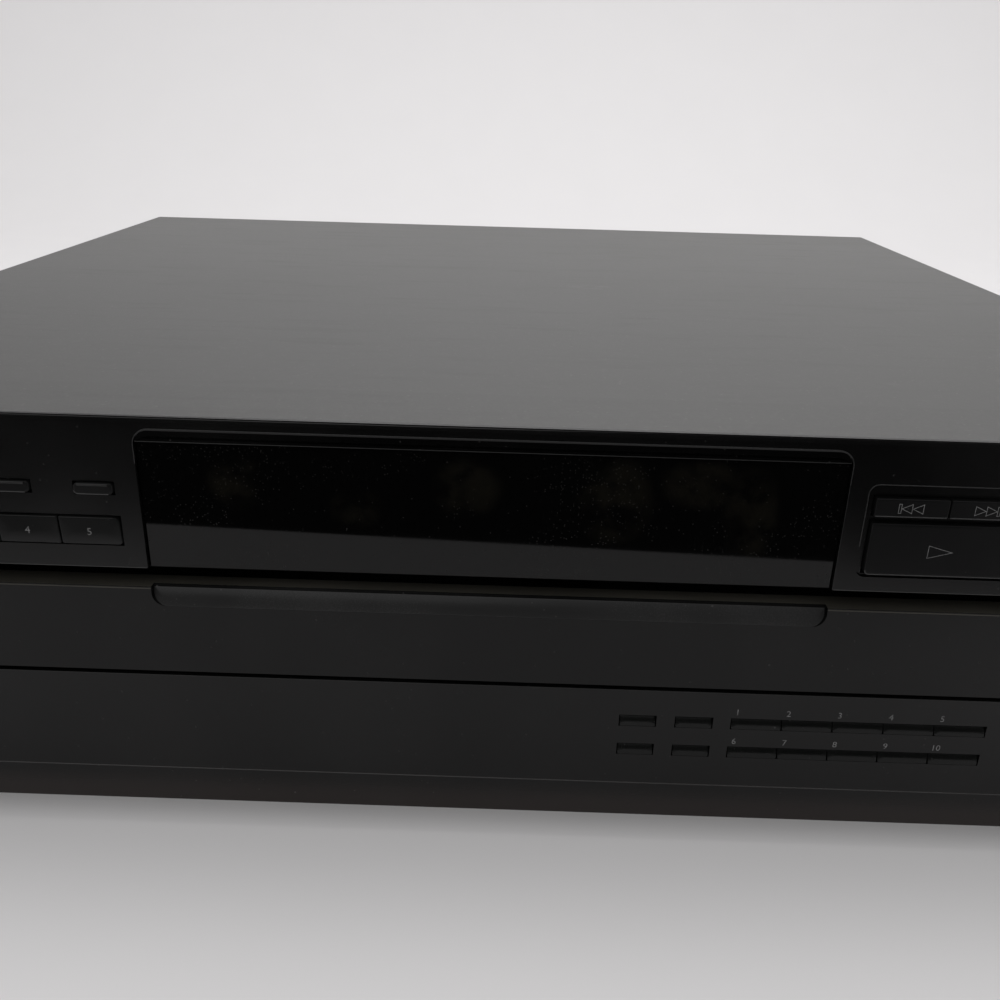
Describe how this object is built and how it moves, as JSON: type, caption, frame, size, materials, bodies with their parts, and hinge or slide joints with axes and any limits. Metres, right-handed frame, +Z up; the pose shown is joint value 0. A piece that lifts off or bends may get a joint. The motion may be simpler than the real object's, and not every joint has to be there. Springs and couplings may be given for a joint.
{
  "type": "multi disc cd changer",
  "caption": "Full-width carousel disc changer: sliding tray with turning well table, lifting optical base, clamp, keyed front and steel cover.",
  "frame": {"origin": "middle of the footprint, on the surface it stands on", "axes": "+X to the right seen from the front, +Y from the front to the rear, +Z up"},
  "size_m": [0.4332, 0.3992, 0.125],
  "materials": {
    "cover_paint": "fine matt charcoal paint",
    "plated_steel": "zinc-plated sheet",
    "front_plastic": "fine satin charcoal",
    "key_plastic": "satin charcoal",
    "window_tint": "dark tinted and glossy",
    "foot_plastic": "black with soft pads",
    "dark_screw": "blackened steel",
    "circuit_board": "tan laminate with parts",
    "transformer": "laminated core, taped winding",
    "jack_plastic": "black moulding",
    "mech_plastic": "black moulding",
    "gear_plastic": "natural acetal",
    "motor_can": "drawn steel can",
    "belt_rubber": "smooth belt",
    "base_metal": "cast frame"
  },
  "bodies": {
    "casing": {"chassis_base": "plated_steel", "rear_panel": "cover_paint", "top_cover": "cover_paint", "front_panel": "front_plastic", "display_window": "window_tint", "feet": "foot_plastic", "cover_screws": "dark_screw", "main_board": "circuit_board", "power_transformer": "transformer", "front_boards": "circuit_board", "output_jacks": "jack_plastic", "cord_gland": "jack_plastic", "headphone_jack": "jack_plastic", "mechanism_deck": "mech_plastic", "loading_motor": "motor_can", "loading_belt": "belt_rubber", "clamp_bridge": "plated_steel"},
    "drawer": {"tray": "mech_plastic", "drawer_front": "front_plastic", "table_motor": "motor_can"},
    "carousel_body": {"carousel": "mech_plastic"},
    "table_gear_body": {"table_gear": "gear_plastic"},
    "table_pinion_body": {"table_pinion": "gear_plastic"},
    "loading_gear_body": {"loading_gear": "gear_plastic"},
    "loading_pulley_body": {"loading_pulley": "gear_plastic"},
    "base_unit_body": {"base_unit": "base_metal"},
    "spindle_platter_body": {"spindle_platter": "gear_plastic"},
    "optical_sled_body": {"optical_sled": "mech_plastic"},
    "lift_slide_body": {"lift_slide": "plated_steel"},
    "clamp_disc_body": {"clamp_disc": "mech_plastic"},
    "level_knob_body": {"level_knob": "key_plastic"},
    "power_key_body": {"power_key": "key_plastic"},
    "disc_1_key_body": {"disc_1_key": "key_plastic"},
    "disc_2_key_body": {"disc_2_key": "key_plastic"},
    "disc_3_key_body": {"disc_3_key": "key_plastic"},
    "disc_4_key_body": {"disc_4_key": "key_plastic"},
    "disc_5_key_body": {"disc_5_key": "key_plastic"},
    "repeat_key_body": {"repeat_key": "key_plastic"},
    "random_key_body": {"random_key": "key_plastic"},
    "skip_back_key_body": {"skip_back_key": "key_plastic"},
    "skip_forward_key_body": {"skip_forward_key": "key_plastic"},
    "pause_key_body": {"pause_key": "key_plastic"},
    "stop_key_body": {"stop_key": "key_plastic"},
    "play_key_body": {"play_key": "key_plastic"},
    "open_close_key_body": {"open_close_key": "key_plastic"},
    "disc_skip_key_body": {"disc_skip_key": "key_plastic"},
    "function_1_key_body": {"function_1_key": "key_plastic"},
    "function_2_key_body": {"function_2_key": "key_plastic"},
    "number_1_key_body": {"number_1_key": "key_plastic"},
    "number_2_key_body": {"number_2_key": "key_plastic"},
    "number_3_key_body": {"number_3_key": "key_plastic"},
    "number_4_key_body": {"number_4_key": "key_plastic"},
    "number_5_key_body": {"number_5_key": "key_plastic"},
    "function_3_key_body": {"function_3_key": "key_plastic"},
    "function_4_key_body": {"function_4_key": "key_plastic"},
    "number_6_key_body": {"number_6_key": "key_plastic"},
    "number_7_key_body": {"number_7_key": "key_plastic"},
    "number_8_key_body": {"number_8_key": "key_plastic"},
    "number_9_key_body": {"number_9_key": "key_plastic"},
    "number_10_key_body": {"number_10_key": "key_plastic"}
  },
  "joints": [
    {"name": "drawer_slide", "type": "slide", "parent": "casing", "child": "drawer", "axis": [0, -1, 0], "range_m": [0, 0.25]},
    {"name": "carousel_spin", "type": "hinge", "parent": "drawer", "child": "carousel_body", "pos_m": [0, -0.0041, 0.066], "axis": [0, 0, 1], "continuous": true},
    {"name": "table_gear_spin", "type": "hinge", "parent": "drawer", "child": "table_gear_body", "pos_m": [-0.13152, -0.13562, 0.0665], "axis": [0, 0, 1], "continuous": true},
    {"name": "table_pinion_spin", "type": "hinge", "parent": "drawer", "child": "table_pinion_body", "pos_m": [-0.15702, -0.14069, 0.0665], "axis": [0, 0, 1], "continuous": true},
    {"name": "loading_gear_spin", "type": "hinge", "parent": "casing", "child": "loading_gear_body", "pos_m": [-0.156, -0.1526, 0.047], "axis": [0, 0, 1], "range_deg": [-10, 1210]},
    {"name": "loading_pulley_spin", "type": "hinge", "parent": "casing", "child": "loading_pulley_body", "pos_m": [-0.096, -0.1526, 0.047], "axis": [0, 0, 1], "range_deg": [-10, 5270]},
    {"name": "base_lift", "type": "hinge", "parent": "casing", "child": "base_unit_body", "pos_m": [0, 0.1784, 0.0585], "axis": [-1, 0, 0], "range_deg": [0, 9]},
    {"name": "spindle_spin", "type": "hinge", "parent": "base_unit_body", "child": "spindle_platter_body", "pos_m": [0, 0.09998, 0.05823], "axis": [0, -0.1564, 0.9877], "continuous": true},
    {"name": "sled_slide", "type": "slide", "parent": "base_unit_body", "child": "optical_sled_body", "axis": [0, -0.9877, -0.1564], "range_m": [0, 0.034]},
    {"name": "lift_slide_move", "type": "slide", "parent": "casing", "child": "lift_slide_body", "axis": [1, 0, 0], "range_m": [0, 0.02476]},
    {"name": "clamp_spin", "type": "hinge", "parent": "casing", "child": "clamp_disc_body", "pos_m": [0, 0.1009, 0.075], "axis": [0, 0, 1], "continuous": true},
    {"name": "level_turn", "type": "hinge", "parent": "casing", "child": "level_knob_body", "pos_m": [-0.16, -0.1926, 0.036], "axis": [0, 1, 0], "range_deg": [-150, 150]},
    {"name": "power_press", "type": "slide", "parent": "casing", "child": "power_key_body", "axis": [0, 1, 0], "range_m": [0, 0.0005], "stiffness_N_per_m": 400, "springref_m": -0.0005},
    {"name": "disc_1_press", "type": "slide", "parent": "casing", "child": "disc_1_key_body", "axis": [0, 1, 0], "range_m": [0, 0.0005], "stiffness_N_per_m": 400, "springref_m": -0.0005},
    {"name": "disc_2_press", "type": "slide", "parent": "casing", "child": "disc_2_key_body", "axis": [0, 1, 0], "range_m": [0, 0.0005], "stiffness_N_per_m": 400, "springref_m": -0.0005},
    {"name": "disc_3_press", "type": "slide", "parent": "casing", "child": "disc_3_key_body", "axis": [0, 1, 0], "range_m": [0, 0.0005], "stiffness_N_per_m": 400, "springref_m": -0.0005},
    {"name": "disc_4_press", "type": "slide", "parent": "casing", "child": "disc_4_key_body", "axis": [0, 1, 0], "range_m": [0, 0.0005], "stiffness_N_per_m": 400, "springref_m": -0.0005},
    {"name": "disc_5_press", "type": "slide", "parent": "casing", "child": "disc_5_key_body", "axis": [0, 1, 0], "range_m": [0, 0.0005], "stiffness_N_per_m": 400, "springref_m": -0.0005},
    {"name": "repeat_press", "type": "slide", "parent": "casing", "child": "repeat_key_body", "axis": [0, 1, 0], "range_m": [0, 0.0005], "stiffness_N_per_m": 400, "springref_m": -0.0005},
    {"name": "random_press", "type": "slide", "parent": "casing", "child": "random_key_body", "axis": [0, 1, 0], "range_m": [0, 0.0005], "stiffness_N_per_m": 400, "springref_m": -0.0005},
    {"name": "skip_back_press", "type": "slide", "parent": "casing", "child": "skip_back_key_body", "axis": [0, 1, 0], "range_m": [0, 0.0005], "stiffness_N_per_m": 400, "springref_m": -0.0005},
    {"name": "skip_forward_press", "type": "slide", "parent": "casing", "child": "skip_forward_key_body", "axis": [0, 1, 0], "range_m": [0, 0.0005], "stiffness_N_per_m": 400, "springref_m": -0.0005},
    {"name": "pause_press", "type": "slide", "parent": "casing", "child": "pause_key_body", "axis": [0, 1, 0], "range_m": [0, 0.0005], "stiffness_N_per_m": 400, "springref_m": -0.0005},
    {"name": "stop_press", "type": "slide", "parent": "casing", "child": "stop_key_body", "axis": [0, 1, 0], "range_m": [0, 0.0005], "stiffness_N_per_m": 400, "springref_m": -0.0005},
    {"name": "play_press", "type": "slide", "parent": "casing", "child": "play_key_body", "axis": [0, 1, 0], "range_m": [0, 0.0005], "stiffness_N_per_m": 400, "springref_m": -0.0005},
    {"name": "open_close_press", "type": "slide", "parent": "casing", "child": "open_close_key_body", "axis": [0, 1, 0], "range_m": [0, 0.0005], "stiffness_N_per_m": 400, "springref_m": -0.0005},
    {"name": "disc_skip_press", "type": "slide", "parent": "casing", "child": "disc_skip_key_body", "axis": [0, 1, 0], "range_m": [0, 0.0005], "stiffness_N_per_m": 400, "springref_m": -0.0005},
    {"name": "function_1_press", "type": "slide", "parent": "casing", "child": "function_1_key_body", "axis": [0, 1, 0], "range_m": [0, 0.0005], "stiffness_N_per_m": 400, "springref_m": -0.0005},
    {"name": "function_2_press", "type": "slide", "parent": "casing", "child": "function_2_key_body", "axis": [0, 1, 0], "range_m": [0, 0.0005], "stiffness_N_per_m": 400, "springref_m": -0.0005},
    {"name": "number_1_press", "type": "slide", "parent": "casing", "child": "number_1_key_body", "axis": [0, 1, 0], "range_m": [0, 0.0005], "stiffness_N_per_m": 400, "springref_m": -0.0005},
    {"name": "number_2_press", "type": "slide", "parent": "casing", "child": "number_2_key_body", "axis": [0, 1, 0], "range_m": [0, 0.0005], "stiffness_N_per_m": 400, "springref_m": -0.0005},
    {"name": "number_3_press", "type": "slide", "parent": "casing", "child": "number_3_key_body", "axis": [0, 1, 0], "range_m": [0, 0.0005], "stiffness_N_per_m": 400, "springref_m": -0.0005},
    {"name": "number_4_press", "type": "slide", "parent": "casing", "child": "number_4_key_body", "axis": [0, 1, 0], "range_m": [0, 0.0005], "stiffness_N_per_m": 400, "springref_m": -0.0005},
    {"name": "number_5_press", "type": "slide", "parent": "casing", "child": "number_5_key_body", "axis": [0, 1, 0], "range_m": [0, 0.0005], "stiffness_N_per_m": 400, "springref_m": -0.0005},
    {"name": "function_3_press", "type": "slide", "parent": "casing", "child": "function_3_key_body", "axis": [0, 1, 0], "range_m": [0, 0.0005], "stiffness_N_per_m": 400, "springref_m": -0.0005},
    {"name": "function_4_press", "type": "slide", "parent": "casing", "child": "function_4_key_body", "axis": [0, 1, 0], "range_m": [0, 0.0005], "stiffness_N_per_m": 400, "springref_m": -0.0005},
    {"name": "number_6_press", "type": "slide", "parent": "casing", "child": "number_6_key_body", "axis": [0, 1, 0], "range_m": [0, 0.0005], "stiffness_N_per_m": 400, "springref_m": -0.0005},
    {"name": "number_7_press", "type": "slide", "parent": "casing", "child": "number_7_key_body", "axis": [0, 1, 0], "range_m": [0, 0.0005], "stiffness_N_per_m": 400, "springref_m": -0.0005},
    {"name": "number_8_press", "type": "slide", "parent": "casing", "child": "number_8_key_body", "axis": [0, 1, 0], "range_m": [0, 0.0005], "stiffness_N_per_m": 400, "springref_m": -0.0005},
    {"name": "number_9_press", "type": "slide", "parent": "casing", "child": "number_9_key_body", "axis": [0, 1, 0], "range_m": [0, 0.0005], "stiffness_N_per_m": 400, "springref_m": -0.0005},
    {"name": "number_10_press", "type": "slide", "parent": "casing", "child": "number_10_key_body", "axis": [0, 1, 0], "range_m": [0, 0.0005], "stiffness_N_per_m": 400, "springref_m": -0.0005}
  ],
  "couplings": [
    {"joint": "table_gear_spin", "follows": "carousel_spin", "ratio": -10.625},
    {"joint": "table_pinion_spin", "follows": "carousel_spin", "ratio": 17},
    {"joint": "loading_gear_spin", "follows": "drawer_slide", "rad_per_m": 83.333},
    {"joint": "loading_pulley_spin", "follows": "drawer_slide", "rad_per_m": 366.67},
    {"joint": "lift_slide_move", "follows": "base_lift", "m_per_rad": 0.1551}
  ]
}
